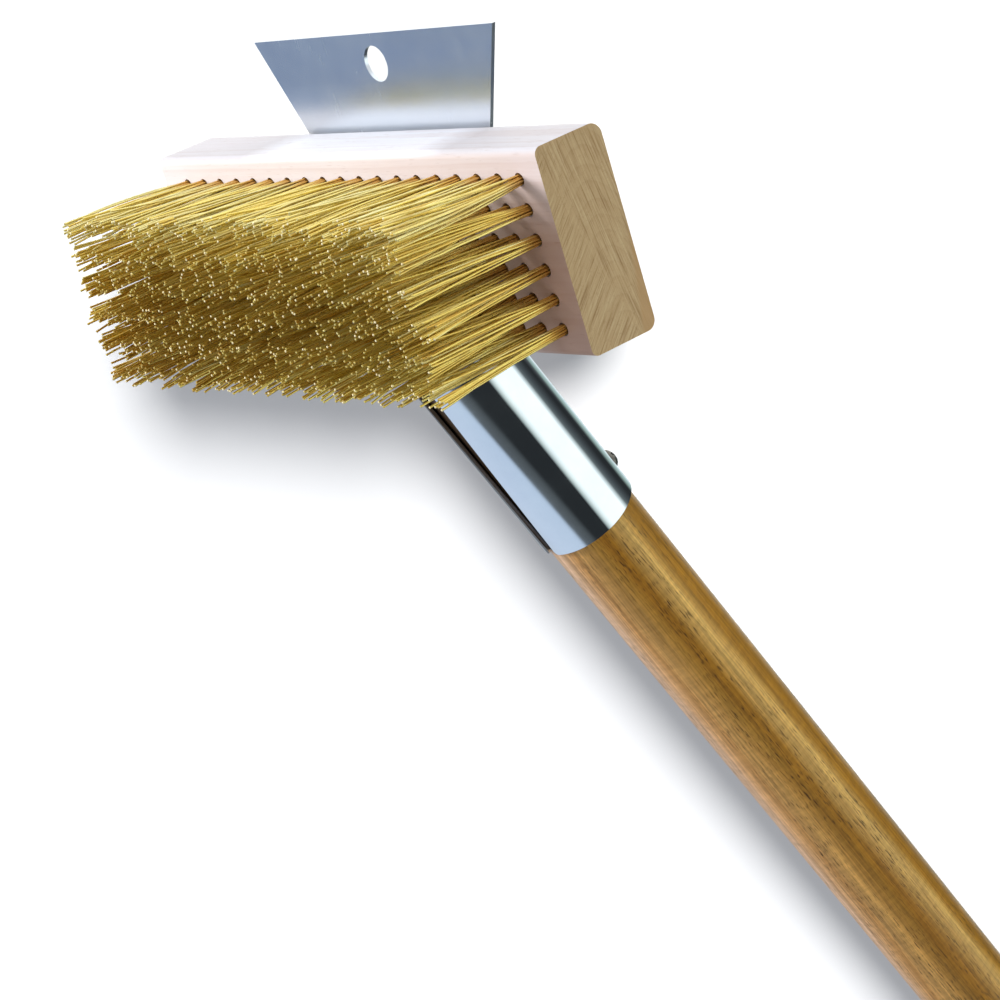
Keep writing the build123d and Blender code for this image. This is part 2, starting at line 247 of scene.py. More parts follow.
STEEL = (0.66, 0.70, 0.755)
STEEL_PALE = (0.71, 0.75, 0.79)
STEEL_FOOT_REFLECTION = (0.83, 0.88, 0.93)     # painted reflection: the scraper lighter just above the block
STEEL_BELT_REFLECTION = (0.60, 0.69, 0.86)     # painted reflection: the scraper bluer above its foot, towards the right
STEEL_SCRATCH = (0.50, 0.53, 0.57)
FOOT_HEIGHT = 0.034
BELT_HEIGHT = 0.046
BELT_REACH = 0.012
BLADE_START = (-0.035, 0.010)   # polished below this, satin above
SATIN = (0.235, 0.27)           # roughness of the scraper
POLISHED = (0.05, 0.085)        # and of the socket
SCREW_PALE = (0.17, 0.165, 0.15)
SCREW_DARK = (0.09, 0.085, 0.075)
STRIP_DARK = (0.45, 0.45, 0.46)
STRIP_PALE = (0.60, 0.60, 0.61)

BRASS_DARK = (0.70, 0.450, 0.090)
BRASS_MIDDLE = (0.93, 0.755, 0.200)
BRASS_PALE = (0.83, 0.770, 0.385)
BRASS_ROOT = (0.66, 0.35, 0.075)
BRASS_STAIN = (0.53, 0.32, 0.072)
# Pale bare metal of a cut end, light enough to be a painted glint.
BRASS_END_GLINT = (1.0, 0.87, 0.52)


def degrees_to_ramp(angle):
    """Place on a ramp that runs from -180 to 180 degrees."""
    return (angle + 180.0) / 360.0


STREAKS_ACROSS = 1900.0         # end grain streaks per metre across them
STREAKS_ALONG = 62.0            # and along them


def end_streaks(nodes, height, back, angle):
    """Fine streaks across an end of the block, turned from the height towards the back."""
    cosine, sine = math.cos(math.radians(angle)), math.sin(math.radians(angle))
    along = nodes.math("ADD", nodes.math("MULTIPLY", height, cosine), nodes.math("MULTIPLY", back, sine))
    across = nodes.math("SUBTRACT", nodes.math("MULTIPLY", back, cosine),
                        nodes.math("MULTIPLY", height, sine))
    place = nodes.add("ShaderNodeCombineXYZ", {
        "X": nodes.math("MULTIPLY", across, STREAKS_ACROSS),
        "Y": nodes.math("MULTIPLY", along, STREAKS_ALONG)})
    return nodes.noise(place.outputs["Vector"], 1.0, 3.0, 0.6)


def block_wood_material():
    """Pale bare hardwood with faint grain along the block and tan end grain at its ends, and painted light
    and shade on its long faces.
    """
    material, nodes, shader = new_material("block_wood")
    point = nodes.frame_coordinates(HEAD_ORIGIN, HEAD_AXES)
    parts = nodes.add("ShaderNodeSeparateXYZ", {"Vector": point})
    length, height, depth = parts.outputs["X"], parts.outputs["Y"], parts.outputs["Z"]
    wander = nodes.noise(nodes.stretch(point, (5.0, 60.0, 60.0)), 1.0, 3.0)
    ring_y = nodes.math("SUBTRACT", height, BLOCK_PITH[0])
    ring_z = nodes.math("MULTIPLY", nodes.math("SUBTRACT", depth, BLOCK_PITH[1]), BLOCK_RING_SQUASH)
    rings = nodes.math("ADD", nodes.math("MULTIPLY", nodes.length(ring_y, ring_z), BLOCK_RINGS),
                       nodes.math("MULTIPLY", wander, 0.9))
    ring = nodes.math("FRACT", rings)
    fibre = nodes.noise(nodes.stretch(point, (30.0, 800.0, 800.0)), 1.0, 4.0, 0.6)
    fleck = nodes.noise(nodes.stretch(point, (170.0, 1700.0, 1700.0)), 1.0, 2.0)
    blotch = nodes.noise(nodes.stretch(point, (14.0, 40.0, 40.0)), 1.0, 2.0)
    side = nodes.ramp(ring, [(0.0, BLOCK_PALE), (0.7, BLOCK_MIDDLE), (0.93, BLOCK_LATE), (1.0, BLOCK_PALE)])
    side = nodes.mix(0.55, side, rgb(*BLOCK_PALE))
    side = nodes.mix(nodes.grey(fibre, 0.0, 0.30, 0.42, 0.72), side, rgb(*BLOCK_LATE))
    side = nodes.mix(nodes.grey(fleck, 0.0, 0.30, 0.62, 0.74), side, rgb(*BLOCK_FLECK))
    side = nodes.mix(nodes.grey(blotch, 0.0, 0.30, 0.40, 0.70), side, rgb(*BLOCK_BLOTCH))
    normal = nodes.add("ShaderNodeTexCoord").outputs["Normal"]
    across = nodes.math("ABSOLUTE", nodes.add("ShaderNodeSeparateXYZ", {"Vector": normal}).outputs["X"])
    end_face = nodes.grey(across, 0.0, 1.0, 0.80, 0.97)
    back = nodes.math("MULTIPLY", depth, -1.0)
    weave_place = nodes.math("ADD", back, nodes.math("MULTIPLY", height, WEAVE_SLOPE))
    weave = nodes.mix(nodes.grey(weave_place, 0.0, 1.0, *WEAVE_BORDER),
                      *[end_streaks(nodes, height, back, angle) for angle in WEAVE_ANGLES])
    pores = nodes.noise(nodes.stretch(point, (300.0, 1500.0, 1500.0)), 1.0, 3.0, 0.7)
    end = nodes.ramp(ring, [(0.0, END_PALE), (0.72, END_MIDDLE), (0.93, END_LATE), (1.0, END_PALE)])
    end = nodes.mix(0.85, end, rgb(*END_MIDDLE))
    end = nodes.mix(nodes.grey(weave, 0.0, 0.90, 0.52, 0.68), end, rgb(*END_LATE))
    end = nodes.mix(nodes.grey(weave, 0.90, 0.0, 0.32, 0.48), end, rgb(*END_PALE))
    end = nodes.mix(nodes.grey(pores, 0.0, 0.40, 0.55, 0.72), end, rgb(*END_LATE))
    back_reach = nodes.math("SUBTRACT", nodes.math("SUBTRACT", END_BAND_TOP, depth),
                            nodes.math("MULTIPLY", height, END_BAND_SLOPE))
    back_band = nodes.grey(back_reach, 0.0, 0.75, -0.0006, 0.0006)
    end = nodes.mix(back_band, end, rgb(*END_BAND))
    # Painted light and shade on the face on the scraper's side.
    centre = nodes.grey(nodes.math("ABSOLUTE", length), 1.0, 0.0, *PAINTED_LIGHT_REACH)
    top_face_light_tint = nodes.mix(centre, rgb(*TOP_FACE_PAINTED_SHADE), rgb(*TOP_FACE_PAINTED_LIGHT))
    # Painted shade of the tufts on the bristle face, darker and browner towards the lower right.
    right = nodes.grey(length, 0.0, 1.0, 0.0, 0.090)
    low = nodes.math("MULTIPLY", nodes.grey(length, 0.0, 1.0, *TUFT_SHADOW_START),
                     nodes.grey(height, 1.0, 0.0, *TUFT_SHADOW_ACROSS))
    front_shade_tint = nodes.mix(low, nodes.mix(right, rgb(1.0, 1.0, 1.0), rgb(*FRONT_PAINTED_SHADE)), rgb(*FRONT_PAINTED_TUFT_SHADOW))
    # Painted light and shade of both long faces, multiplied into the wood.
    painted_light_tint = nodes.mix(nodes.facing(normal, HEAD_Y, 0.2, 0.8), front_shade_tint, top_face_light_tint)
    side = nodes.mix(1.0, side, painted_light_tint, "MULTIPLY")
    nodes.put(shader.inputs["Base Color"], nodes.mix(end_face, side, end))
    nodes.put(shader.inputs["Roughness"], nodes.grey(fibre, 0.50, 0.68))
    shader.inputs["Specular IOR Level"].default_value = BLOCK_GLOSS
    relief = nodes.mix(end_face, fibre, nodes.math("MULTIPLY", weave, 1.3))
    bump = nodes.add("ShaderNodeBump", {"Height": relief, "Strength": 0.30, "Distance": 0.00010})
    nodes.put(shader.inputs["Normal"], bump.outputs["Normal"])
    return material


def handle_wood_material():
    """Golden brown stained hardwood with fine dark pores along the handle and a satin finish, with painted
    light and shade round it and a painted shadow inside the socket.
    """
    material, nodes, shader = new_material("handle_wood")
    front = HANDLE_WAY.cross(HEAD_X).normalized()
    axes = Matrix((HANDLE_WAY, HEAD_X, front)).transposed()
    point = nodes.frame_coordinates(HANDLE_PLACE, axes)
    parts = nodes.add("ShaderNodeSeparateXYZ", {"Vector": point})
    along = parts.outputs["X"]
    wander = nodes.noise(nodes.stretch(point, (3.0, 24.0, 24.0)), 1.0, 3.0)
    # The handle's painted light and shade follow the angle round it.
    turn = nodes.math("ARCTAN2", parts.outputs["Y"], parts.outputs["Z"])
    turn = nodes.math("ADD", turn, nodes.grey(wander, -0.20, 0.20, 0.25, 0.75))
    tone = nodes.ramp(nodes.grey(turn, 0.0, 1.0, -math.pi, math.pi),
                      [(degrees_to_ramp(angle), colour) for angle, colour in HANDLE_LIGHT_AND_SHADE])
    ring_y = nodes.math("SUBTRACT", parts.outputs["Y"], HANDLE_PITH[0])
    ring_z = nodes.math("SUBTRACT", parts.outputs["Z"], HANDLE_PITH[1])
    rings = nodes.math("ADD", nodes.math("MULTIPLY", nodes.length(ring_y, ring_z), HANDLE_RINGS),
                       nodes.math("MULTIPLY", wander, 5.0))
    ring = nodes.ramp(nodes.math("FRACT", rings), [
        (0.0, (1.0, 1.0, 1.0)), (0.6, (0.95, 0.93, 0.90)), (0.9, (0.74, 0.66, 0.55)), (1.0, (1.0, 1.0, 1.0))])
    tone = nodes.mix(0.55, tone, ring, "MULTIPLY")
    band = nodes.noise(nodes.stretch(point, (3.0, 260.0, 260.0)), 1.0, 3.0, 0.6)
    fibre = nodes.noise(nodes.stretch(point, (26.0, 1900.0, 1900.0)), 1.0, 3.0, 0.6)
    pore = nodes.noise(nodes.stretch(point, (240.0, 3000.0, 3000.0)), 1.0, 1.0, 0.5)
    pore_field = nodes.noise(nodes.stretch(point, (16.0, 120.0, 120.0)), 1.0, 2.0, 0.5)
    ripple = nodes.noise(nodes.stretch(point, (520.0, 120.0, 120.0)), 1.0, 3.0, 0.6)
    shade = nodes.math("MULTIPLY", nodes.grey(band, 0.80, 1.24, 0.32, 0.68),
                       nodes.grey(fibre, 1.22, 0.62, 0.30, 0.74))
    shade = nodes.math("MULTIPLY", shade, nodes.grey(ripple, 0.91, 1.10, 0.35, 0.65))
    tone = nodes.mix(1.0, tone, shade, "MULTIPLY")
    pore_mask = nodes.math("MULTIPLY", nodes.grey(pore, 0.0, 0.9, 0.60, 0.67),
                           nodes.grey(pore_field, 0.35, 1.0, 0.40, 0.58))
    tone = nodes.mix(pore_mask, tone, rgb(*HANDLE_PORE))
    # Painted shadow: the wood inside the socket almost black.
    socket_shadow = nodes.grey(along, 1.0, 0.0, HANDLE_BARE - 0.0004, HANDLE_BARE)
    tone = nodes.mix(nodes.math("MULTIPLY", socket_shadow, 0.93), tone, rgb(*HANDLE_SOCKET_SHADOW))
    nodes.put(shader.inputs["Base Color"], tone)
    nodes.put(shader.inputs["Roughness"], nodes.grey(fibre, 0.24, 0.36))
    shader.inputs["Specular IOR Level"].default_value = HANDLE_GLOSS
    height = nodes.math("SUBTRACT", nodes.math("MULTIPLY", fibre, 0.5), pore_mask)
    bump = nodes.add("ShaderNodeBump", {"Height": height, "Strength": 0.25, "Distance": 0.00008})
    nodes.put(shader.inputs["Normal"], bump.outputs["Normal"])
    return material


def bracket_material():
    """Bright plated sheet steel: polished by the rolling on the socket, satin on the blade, with painted
    reflections on the blade above the block.
    """
    material, nodes, shader = new_material("bracket_steel")
    point = nodes.frame_coordinates(HEAD_ORIGIN, HEAD_AXES)
    parts = nodes.add("ShaderNodeSeparateXYZ", {"Vector": point})
    height = parts.outputs["Y"]
    blade = nodes.grey(height, 0.0, 1.0, *BLADE_START)
    scratch = nodes.noise(nodes.stretch(point, (1500.0, 60.0, 1500.0)), 1.0, 3.0, 0.6)
    cloud = nodes.noise(point, 60.0, 4.0, 0.6)
    grain = nodes.noise(point, 2200.0, 2.0)
    shade = nodes.mix(nodes.grey(cloud, 0.0, 1.0, 0.35, 0.65), rgb(*STEEL), rgb(*STEEL_PALE))
    # Painted reflection: a lighter band on the scraper just above the block.
    shade = nodes.mix(nodes.band(height, FOOT_HEIGHT, BELT_REACH), shade, rgb(*STEEL_FOOT_REFLECTION))
    # Painted reflection: a bluer band above the foot, towards the right.
    belt_reflection = nodes.math("MULTIPLY", nodes.band(height, BELT_HEIGHT, BELT_REACH),
                      nodes.grey(parts.outputs["X"], 0.0, 1.0, -0.030, 0.030))
    shade = nodes.mix(belt_reflection, shade, rgb(*STEEL_BELT_REFLECTION))
    shade = nodes.mix(nodes.grey(scratch, 0.0, 0.06, 0.55, 0.75), shade, rgb(*STEEL_SCRATCH))
    nodes.put(shader.inputs["Base Color"], shade)
    shader.inputs["Metallic"].default_value = 1.0
    satin = nodes.grey(cloud, *SATIN, 0.35, 0.65)
    polished = nodes.grey(cloud, *POLISHED, 0.35, 0.65)
    gain = nodes.math("MULTIPLY", blade, nodes.math("SUBTRACT", satin, polished))
    roughness = nodes.math("ADD", polished, gain)
    roughness = nodes.math("ADD", roughness, nodes.grey(scratch, 0.0, 0.02, 0.60, 0.80))
    nodes.put(shader.inputs["Roughness"], roughness)
    bump = nodes.add("ShaderNodeBump", {
        "Height": nodes.math("ADD", grain, scratch), "Strength": 0.025, "Distance": 0.00003})
    nodes.put(shader.inputs["Normal"], bump.outputs["Normal"])
    return material


def screw_material():
    """Dark plated screw steel with a fine grain."""
    material, nodes, shader = new_material("screw_steel")
    point = nodes.add("ShaderNodeTexCoord").outputs["Object"]
    grain = nodes.noise(point, 2600.0, 3.0)
    colour = nodes.mix(nodes.grey(grain, 0.0, 0.7, 0.4, 0.7), rgb(*SCREW_PALE), rgb(*SCREW_DARK))
    nodes.put(shader.inputs["Base Color"], colour)
    shader.inputs["Metallic"].default_value = 1.0
    nodes.put(shader.inputs["Roughness"], nodes.grey(grain, 0.24, 0.42))
    bump = nodes.add("ShaderNodeBump", {"Height": grain, "Strength": 0.1, "Distance": 0.00005})
    nodes.put(shader.inputs["Normal"], bump.outputs["Normal"])
    return material


def anchor_material():
    """Plain steel strip with a dull rolled finish."""
    material, nodes, shader = new_material("anchor_steel")
    point = nodes.add("ShaderNodeTexCoord").outputs["Object"]
    grain = nodes.noise(point, 1800.0, 3.0)
    nodes.put(shader.inputs["Base Color"], nodes.mix(grain, rgb(*STRIP_DARK), rgb(*STRIP_PALE)))
    shader.inputs["Metallic"].default_value = 1.0
    nodes.put(shader.inputs["Roughness"], nodes.grey(grain, 0.35, 0.5))
    return material


def brass_material():
    """Bright drawn brass wire: a tone of its own for each wire, with painted shade low at the left and
    painted light in the top row, a warmer root, and a pale cut end, partly a painted glint.
    """
    material, nodes, shader = new_material("brass_wire")
    tone = nodes.add("ShaderNodeAttribute", attribute_name="wire_tone").outputs["Fac"]
    rise = nodes.add("ShaderNodeAttribute", attribute_name="wire_rise").outputs["Fac"]
    tip = nodes.grey(rise, 0.0, 1.0, 1.0, 1.05)
    point = nodes.frame_coordinates(HEAD_ORIGIN, HEAD_AXES)
    grain = nodes.noise(nodes.stretch(point, (1500.0, 1500.0, 130.0)), 1.0, 2.0)
    patch = nodes.noise(nodes.stretch(point, (220.0, 220.0, 90.0)), 1.0, 2.0)
    colour = nodes.ramp(tone, [(0.0, BRASS_DARK), (0.5, BRASS_MIDDLE), (1.0, BRASS_PALE)])
    colour = nodes.mix(nodes.grey(rise, 0.85, 0.0, 0.02, 0.20), colour, rgb(*BRASS_ROOT))
    colour = nodes.mix(nodes.grey(grain, 0.0, 0.26, 0.5, 0.75), colour, rgb(*BRASS_STAIN))
    colour = nodes.mix(nodes.grey(patch, 0.0, 0.40, 0.5, 0.70), colour, rgb(*BRASS_DARK))
    # Cut ends: pale and less metallic, partly the bare metal, partly a painted glint.
    colour = nodes.mix(tip, colour, rgb(*BRASS_END_GLINT))
    nodes.put(shader.inputs["Base Color"], colour)
    nodes.put(shader.inputs["Metallic"], nodes.grey(tip, 0.84, 0.14))
    nodes.put(shader.inputs["Roughness"], nodes.grey(grain, 0.22, 0.36, 0.3, 0.7))
    bump = nodes.add("ShaderNodeBump", {"Height": grain, "Strength": 0.05, "Distance": 0.00003})
    nodes.put(shader.inputs["Normal"], bump.outputs["Normal"])
    return material


# --- wires ------------------------------------------------------------------------------------

COLUMNS = 19
ROWS = 6
COLUMN_PITCH = 9.8
ROW_PITCH = 8.8
TRIM = 44.8                     # how far the longest wires stand out of the block
ROOT_DEPTH = 9.0                # how far inside their hole they start
ROOT_RADIUS = 1.48              # of a tuft, in its hole
TIP_RADIUS = 3.45               # and at its tips
SPREAD_Y = 0.09                 # how far the outer rows' tips lean out, per millimetre from the middle
LEAN = (-3.9, -1.2)             # how far every tip leans along the block and across it
REACH_Y = (-28.6, 28.2)         # the tips stay between these
WIRES = 17                      # in a tuft
WIRE_RADIUS = 0.335
WIRE_SIDES = 7
RISES = (0.0, 0.06, 0.14, 0.26, 0.42, 0.58, 0.74, 0.88)     # share of its length at a wire's points
DOME = ((0.60, 1.0), (0.36, 1.16), (0.10, 1.08), (0.0, 0.55))   # mm below the end, share of the radius
LOW_PAINTED_SHADE = 0.40                 # painted shade: how much darker the tone is in the lowest tufts at the left
TOP_PAINTED_LIGHT = 0.22                 # painted light: and how much paler in the top row
TUFT_SWAY = 0.85                # how much a tuft's lean differs from the others', in mm
FLARE_RANGE = (0.85, 1.15)      # and its flare
TIP_SWAY = 0.90                 # how much a wire's tip is off its place in the tuft
TUFT_BOW = 0.30                 # how far a tuft's wires bow together
WIRE_BOW = 0.35                 # and each by itself
KINK = 0.11                     # how far each point of a wire is off its curve
BEND = 1.15                     # how late the wires lean: 1 is straight
TRIM_LACK = 0.95                # how much shorter than the trim the wires are cut
STRAY_SHARE = 0.14              # of the wires stand out of their tuft
STRAY_SWAY = 3.0                # how much further off their place these wires' tips are
STRAY_LACK = 2.5                # and how much shorter they are at most
TONE_RANGE = 0.22
GLINT_END_SHARE = 0.24             # of the wires have a pale cut end, bare metal brightened as a painted glint
DULL_END = 0.08                 # how bright the other cut ends are
END_MARK = 0.1                  # a bright end's rise goes past 1 by this much
SEED = 20260


def wire_paths(x, y, dice):
    """The middle lines of one tuft's wires in the head frame, and how far up each point is, 0 to 1."""
    golden = math.pi * (3 - math.sqrt(5))
    number = np.arange(WIRES)
    radius = ROOT_RADIUS * np.sqrt((number + 0.5) / WIRES)
    angle = number * golden + dice.uniform(0, 2 * math.pi)
    root = np.stack([radius * np.cos(angle), radius * np.sin(angle)], axis=1)
    middle = np.array([LEAN[0], LEAN[1] + y * SPREAD_Y]) + dice.normal(0, TUFT_SWAY, 2)
    flare = TIP_RADIUS / ROOT_RADIUS * dice.uniform(*FLARE_RANGE, 2)
    tip = root * flare + dice.normal(0, TIP_SWAY, (WIRES, 2))
    stray = dice.random(WIRES) < STRAY_SHARE
    tip[stray] += dice.normal(0, STRAY_SWAY, (int(stray.sum()), 2))
    tip += middle
    tip[:, 1] = np.clip(y + tip[:, 1], *REACH_Y) - y
    bow = dice.normal(0, TUFT_BOW, 2) + dice.normal(0, WIRE_BOW, (WIRES, 2))
    kinks = dice.normal(0, KINK, (WIRES, len(RISES), 2))
    length = TRIM - np.abs(dice.normal(0, TRIM_LACK, WIRES))
    length[stray] -= dice.uniform(0, STRAY_LACK, int(stray.sum()))

    rises = np.concatenate([np.tile(RISES, (WIRES, 1)),
                            1 - np.array([depth for depth, _ in DOME]) / length[:, None]], axis=1)
    kinks = np.concatenate([kinks, np.repeat(kinks[:, -1:], len(DOME), axis=1)], axis=1)
    points = np.empty((WIRES, rises.shape[1], 3))
    points[:, :, :2] = (root[:, None, :] + (tip - root)[:, None, :] * (rises ** BEND)[:, :, None]
                        + bow[:, None, :] * np.sin(math.pi * rises)[:, :, None]
                        + kinks * rises[:, :, None] + (x, y))
    points[:, :, 2] = rises * length[:, None]
    foot = points[:, :1].copy()
    foot[:, :, 2] = -ROOT_DEPTH
    return np.concatenate([foot, points], axis=1), np.concatenate([rises[:, :1], rises], axis=1)


def tube_mesh(paths, rises, tones, bright):
    """Vertices, faces, and a tone and a rise for each vertex, of domed wires along the paths."""
    count, steps, _ = paths.shape
    ways = np.gradient(paths, axis=1)
    ways[:, -len(DOME):] = ways[:, -len(DOME) - 1:-len(DOME)]
    ways /= np.linalg.norm(ways, axis=2, keepdims=True)
    side = np.cross(ways, np.array([1.0, 0.0, 0.0]))
    side /= np.linalg.norm(side, axis=2, keepdims=True)
    other = np.cross(ways, side)
    turn = np.arange(WIRE_SIDES) * 2 * math.pi / WIRE_SIDES
    ring = (side[:, :, None, :] * np.cos(turn)[None, None, :, None]
            + other[:, :, None, :] * np.sin(turn)[None, None, :, None])
    radii = np.full(steps, WIRE_RADIUS)
    radii[-len(DOME):] = [WIRE_RADIUS * share for _, share in DOME]
    vertices = paths[:, :, None, :] + ring * radii[None, :, None, None]
    base = np.arange(count)[:, None, None] * steps * WIRE_SIDES
    step = np.arange(steps - 1)[None, :, None] * WIRE_SIDES
    around = np.arange(WIRE_SIDES)[None, None, :]
    after = (around + 1) % WIRE_SIDES
    quads = np.stack([base + step + around, base + step + after,
                      base + step + WIRE_SIDES + after, base + step + WIRE_SIDES + around], axis=-1)
    faces = quads.reshape(-1, 4).tolist()
    first = np.arange(count)[:, None] * steps * WIRE_SIDES
    last = first + (steps - 1) * WIRE_SIDES
    faces += (last + np.arange(WIRE_SIDES)).tolist()
    faces += (first + np.arange(WIRE_SIDES)[::-1]).tolist()
    marked = rises.copy()
    marked[:, -2:] += bright[:, None] * END_MARK
    vertex_rise = np.repeat(marked, WIRE_SIDES)
    vertex_tone = np.repeat(tones, steps * WIRE_SIDES)
    return vertices.reshape(-1, 3), faces, vertex_tone, vertex_rise


def make_wires(material):
    """One piece for each column of tufts, with every wire modelled."""
    dice = np.random.default_rng(SEED)
    for column in range(COLUMNS):
        paths, rises, tones = [], [], []
        for row in range(ROWS):
            x = (column - (COLUMNS - 1) / 2) * COLUMN_PITCH
            y = ((ROWS - 1) / 2 - row) * ROW_PITCH
            tuft_paths, tuft_rises = wire_paths(x, y, dice)
            paths.append(tuft_paths)
            rises.append(tuft_rises)
            # Painted shade in the lowest tufts at the left and painted light in the top row, carried by the
            # tone.
            light_shift = TOP_PAINTED_LIGHT * (row == 0) - LOW_PAINTED_SHADE * row / (ROWS - 1) * (1 - column / (COLUMNS - 1))
            tones.append(np.clip(dice.normal(0.5 + light_shift, TONE_RANGE, WIRES), 0, 1))
        bright = np.where(dice.random(ROWS * WIRES) < GLINT_END_SHARE, 1.0, DULL_END)
        vertices, faces, tone, rise = tube_mesh(
            np.concatenate(paths), np.concatenate(rises), np.concatenate(tones), bright)
        mesh = bpy.data.meshes.new(f"wires_{column + 1:02d}")
        mesh.from_pydata(head_points(vertices).tolist(), [], faces)
        for name, values in (("wire_tone", tone), ("wire_rise", rise)):
            attribute = mesh.attributes.new(name, "FLOAT", "POINT")
            attribute.data.foreach_set("value", values.astype(np.float32))
        mesh.polygons.foreach_set("use_smooth", [True] * len(faces))
        mesh.materials.append(material)
        mesh.update()
        piece = bpy.data.objects.new(f"wires_column_{column + 1:02d}", mesh)
        bpy.context.scene.collection.objects.link(piece)
        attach(piece, "root")
        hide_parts(f"tuft_column_{column + 1:02d}")


# --- stage and light --------------------------------------------------------------------------

FLOOR_GREY = 0.46
FLOOR_GLOW = 0.09
FLOOR_REACH = 6.0
FLOOR_DROP = 0.0002             # the floor lies this far below the brush
PALE_CARD = (0.72, 0.84, 1.0)
DARK = (0.028, 0.032, 0.034)
WHITE_CARD = (1.40, 1.50, 1.46)
FAR_LOW = (0.04, 0.045, 0.05)
KEY_PATCH = (2.2, 2.2, 2.15)    # what the bright metal mirrors in place of the key lamp
KEY_PATCH_EDGE = (0.90, 0.98)   # cosines of the angles from the key lamp between which it fades
HANDLE_SIDE = (-0.34, -0.24)    # Y of the directions between which the two sides blend
CARD_LEAN = 275.0               # degrees that the cards turn for each unit of Y
CARD_LEVEL = 0.48               # they stand as listed where Y is minus this

# Tones of the surround by the angle round the Y axis, in degrees from +Z towards +X.
CARD_TONES = [
    (-180, DARK), (-158, DARK), (-120, (0.25, 0.27, 0.29)), (-106, (0.08, 0.09, 0.10)),
    (-99, (0.62, 0.66, 0.70)), (-93, (0.14, 0.15, 0.16)), (-76, (0.25, 0.27, 0.30)),
    (-67, (0.70, 0.80, 0.92)), (-42, PALE_CARD), (4, (0.68, 0.81, 0.97)), (9, (0.60, 0.73, 0.88)),
    (15, (0.14, 0.16, 0.17)), (32, (0.10, 0.115, 0.12)), (42, DARK), (180, DARK),
]
STRIP_TONES = [
    (-169, DARK), (-164, (0.10, 0.13, 0.12)), (-157, (0.34, 0.45, 0.42)), (-148, (0.48, 0.64, 0.60)),
    (-136, (0.8, 0.95, 0.98)), (-120, (0.9, 1.0, 1.0)), (-110, DARK), (83, DARK), (87, (0.55, 0.64, 0.61)),
    (93, (1.10, 1.22, 1.16)), (100, WHITE_CARD), (141, WHITE_CARD), (147, (0.80, 0.90, 0.88)),
    (154, (0.16, 0.19, 0.19)), (162, (0.085, 0.10, 0.105)), (173, (0.045, 0.052, 0.055)), (180, DARK),
]
OPEN_TONES = [
    (-180, (1.45, 1.45, 1.42)), (-125, (1.40, 1.40, 1.36)), (-100, (0.80, 0.84, 0.90)),
    (-78, (0.29, 0.365, 0.51)), (-45, (0.255, 0.330, 0.47)), (-15, (0.36, 0.42, 0.54)),
    (20, (0.50, 0.53, 0.58)), (80, (0.55, 0.57, 0.60)), (104, (0.88, 0.88, 0.85)),
    (140, (0.95, 0.95, 0.92)), (158, (1.40, 1.40, 1.36)), (180, (1.45, 1.45, 1.42)),
]
KEY_WAY = (-0.60, 0.60, 0.536)
KEY_COLOUR = (0.98, 0.99, 1.03)
TOP_WAY = (0.10, -0.05, 1.0)
TOP_COLOUR = (1.30, 0.92, 0.66)
FLOOR_LIGHT_WAY = (2.80, 1.51, 1.0)
FLOOR_LIGHT = 18.0
FLOOR_LIGHT_ANGLE = 8.0         # degrees across: how soft its shadows are


def make_floor():
    """Plain pale floor that glows a little, throws no shadow and isn't mirrored."""
    mesh = bpy.data.meshes.new("floor")
    corners = [(-FLOOR_REACH, -FLOOR_REACH, 0), (FLOOR_REACH, -FLOOR_REACH, 0),
               (FLOOR_REACH, FLOOR_REACH, 0), (-FLOOR_REACH, FLOOR_REACH, 0)]
    mesh.from_pydata(corners, [], [(0, 1, 2, 3)])
    material, nodes, shader = new_material("floor")
    shader.inputs["Base Color"].default_value = rgb(FLOOR_GREY, FLOOR_GREY, FLOOR_GREY)
    shader.inputs["Roughness"].default_value = 0.9
    shader.inputs["Specular IOR Level"].default_value = 0.1
    shader.inputs["Emission Color"].default_value = rgb(1.0, 1.0, 1.0)
    shader.inputs["Emission Strength"].default_value = FLOOR_GLOW
    mesh.materials.append(material)
    floor = bpy.data.objects.new("floor", mesh)
    floor.location.z = -FLOOR_DROP
    floor.visible_glossy = False
    floor.visible_shadow = False
    bpy.context.scene.collection.objects.link(floor)
    return floor


def around_ramp(nodes, place, tones):
    """A ramp whose stops stand at angles from -180 to 180 degrees."""
    return nodes.ramp(place, [(degrees_to_ramp(angle), colour) for angle, colour in tones])


